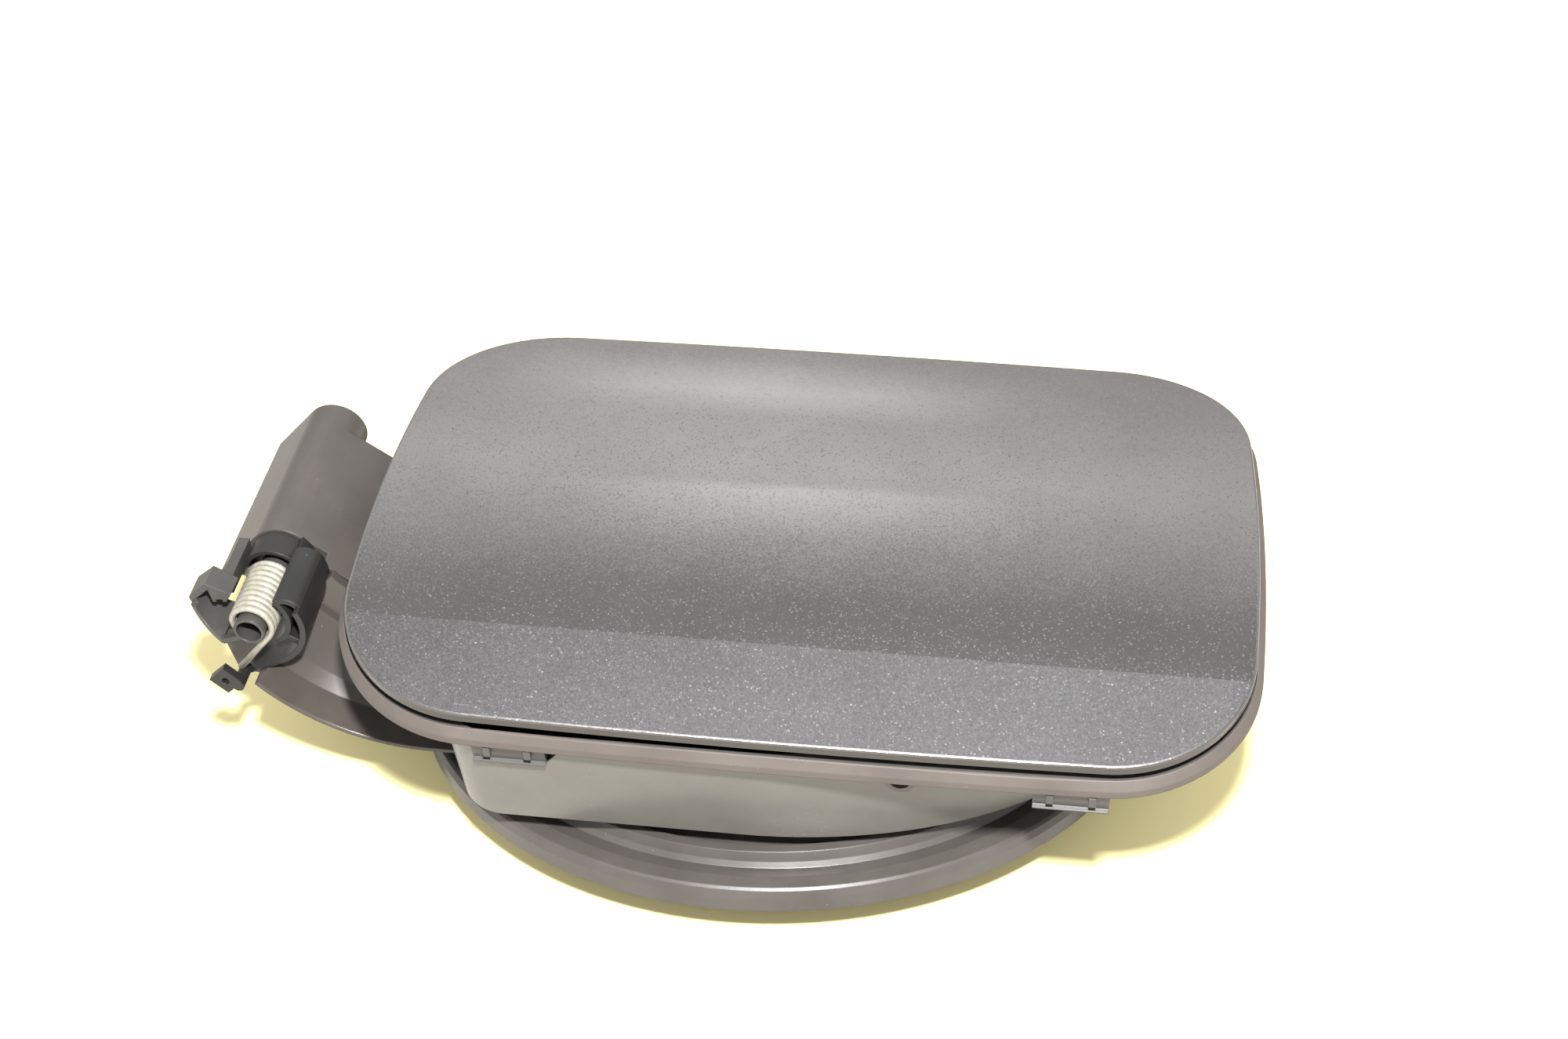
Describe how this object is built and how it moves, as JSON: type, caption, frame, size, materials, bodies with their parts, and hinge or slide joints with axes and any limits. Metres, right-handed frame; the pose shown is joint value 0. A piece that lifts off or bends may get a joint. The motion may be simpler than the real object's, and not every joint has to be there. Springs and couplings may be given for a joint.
{
  "type": "car fuel door",
  "caption": "Car fuel door closed on its filler bowl: crowned painted panel on a sprung gooseneck hinge, rim seal, neck ring and an oval rubber gaiter below.",
  "frame": {"origin": "on the filler neck's axis, level with the sealing edge of the gaiter", "axes": "+X along the door away from its hinge, +Y across the door away from the lock, +Z out of the car through the door"},
  "size_m": [0.2367, 0.1418, 0.0698],
  "materials": {
    "metallic_paint": "warm grey metallic paint under clear lacquer",
    "brown_plastic": "dark brownish moulded nylon, glossy",
    "black_plastic": "black moulded nylon, satin",
    "spring_steel": "pale plated spring wire",
    "grey_plastic": "grey moulded plastic, glossy",
    "rim_rubber": "brownish grey rubber, satin",
    "seal_rubber": "black rubber, matte",
    "gaiter_rubber": "dark rubber, smooth and slightly glossy"
  },
  "bodies": {
    "housing": {"filler_bowl": "grey_plastic", "mouth_flange": "grey_plastic", "lock_guide": "grey_plastic", "hinge_pocket": "brown_plastic", "hinge_bracket": "black_plastic", "torsion_spring": "spring_steel", "rim_seal": "rim_rubber", "body_gaiter": "gaiter_rubber", "neck_seal": "seal_rubber"},
    "door": {"door_skin": "metallic_paint", "hinge_arm": "brown_plastic", "spring_arbor": "black_plastic", "bump_stops": "seal_rubber"}
  },
  "joints": [
    {"name": "door_hinge", "type": "hinge", "parent": "housing", "child": "door", "pos_m": [-0.114, 0, 0.04], "axis": [0, -1, 0], "range_deg": [0, 82], "stiffness_Nm_per_rad": 0.12, "springref_deg": -17.19, "deforming": ["torsion_spring"]}
  ]
}
